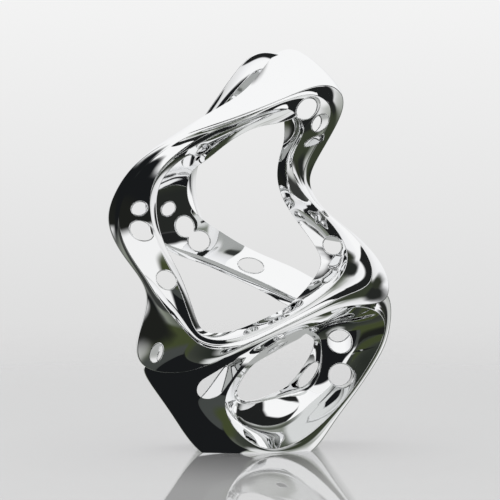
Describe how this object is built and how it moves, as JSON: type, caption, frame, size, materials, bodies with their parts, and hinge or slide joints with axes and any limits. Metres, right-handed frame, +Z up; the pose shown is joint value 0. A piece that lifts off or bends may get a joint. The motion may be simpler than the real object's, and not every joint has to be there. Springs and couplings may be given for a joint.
{
  "type": "metal knot sculpture",
  "caption": "Free-standing abstract sculpture of mirror-polished metal: one closed ribbon loop with round holes, knotted with an inner ribbon on a ring-shaped foot.",
  "frame": {"origin": "middle of the foot's threaded mouth, on the plane that the sculpture rests on", "axes": "+Z up along the height, +X to the right in the picture, +Y away from the camera to the back"},
  "size_m": [0.3562, 0.1619, 0.505],
  "materials": {
    "polished_steel": "mirror-polished stainless steel with fine crisp edges",
    "dowel_steel": "plain turned stainless steel",
    "plate_steel": "satin stainless plate",
    "bush_brass": "turned brass",
    "pad_rubber": "thin black soft pad"
  },
  "bodies": {
    "root": {"crown": "polished_steel", "front_arm": "polished_steel", "left_lobe": "polished_steel", "left_column": "polished_steel", "lower_elbow": "polished_steel", "crossbar": "polished_steel", "right_shoulder": "polished_steel", "s_strut_lower": "polished_steel", "s_strut_upper": "polished_steel", "inner_arm": "polished_steel", "inner_lobe": "polished_steel", "back_band": "polished_steel", "rear_leg_upper": "polished_steel", "rear_leg_lower": "polished_steel", "ring_shoulder": "polished_steel", "ring_right": "polished_steel", "ring_foot": "polished_steel", "ring_left": "polished_steel", "ring_top": "polished_steel", "locating_dowels": "dowel_steel", "foot_plate": "plate_steel", "plate_screws": "dowel_steel", "plinth_bush": "bush_brass", "foot_pad": "pad_rubber"}
  },
  "joints": []
}
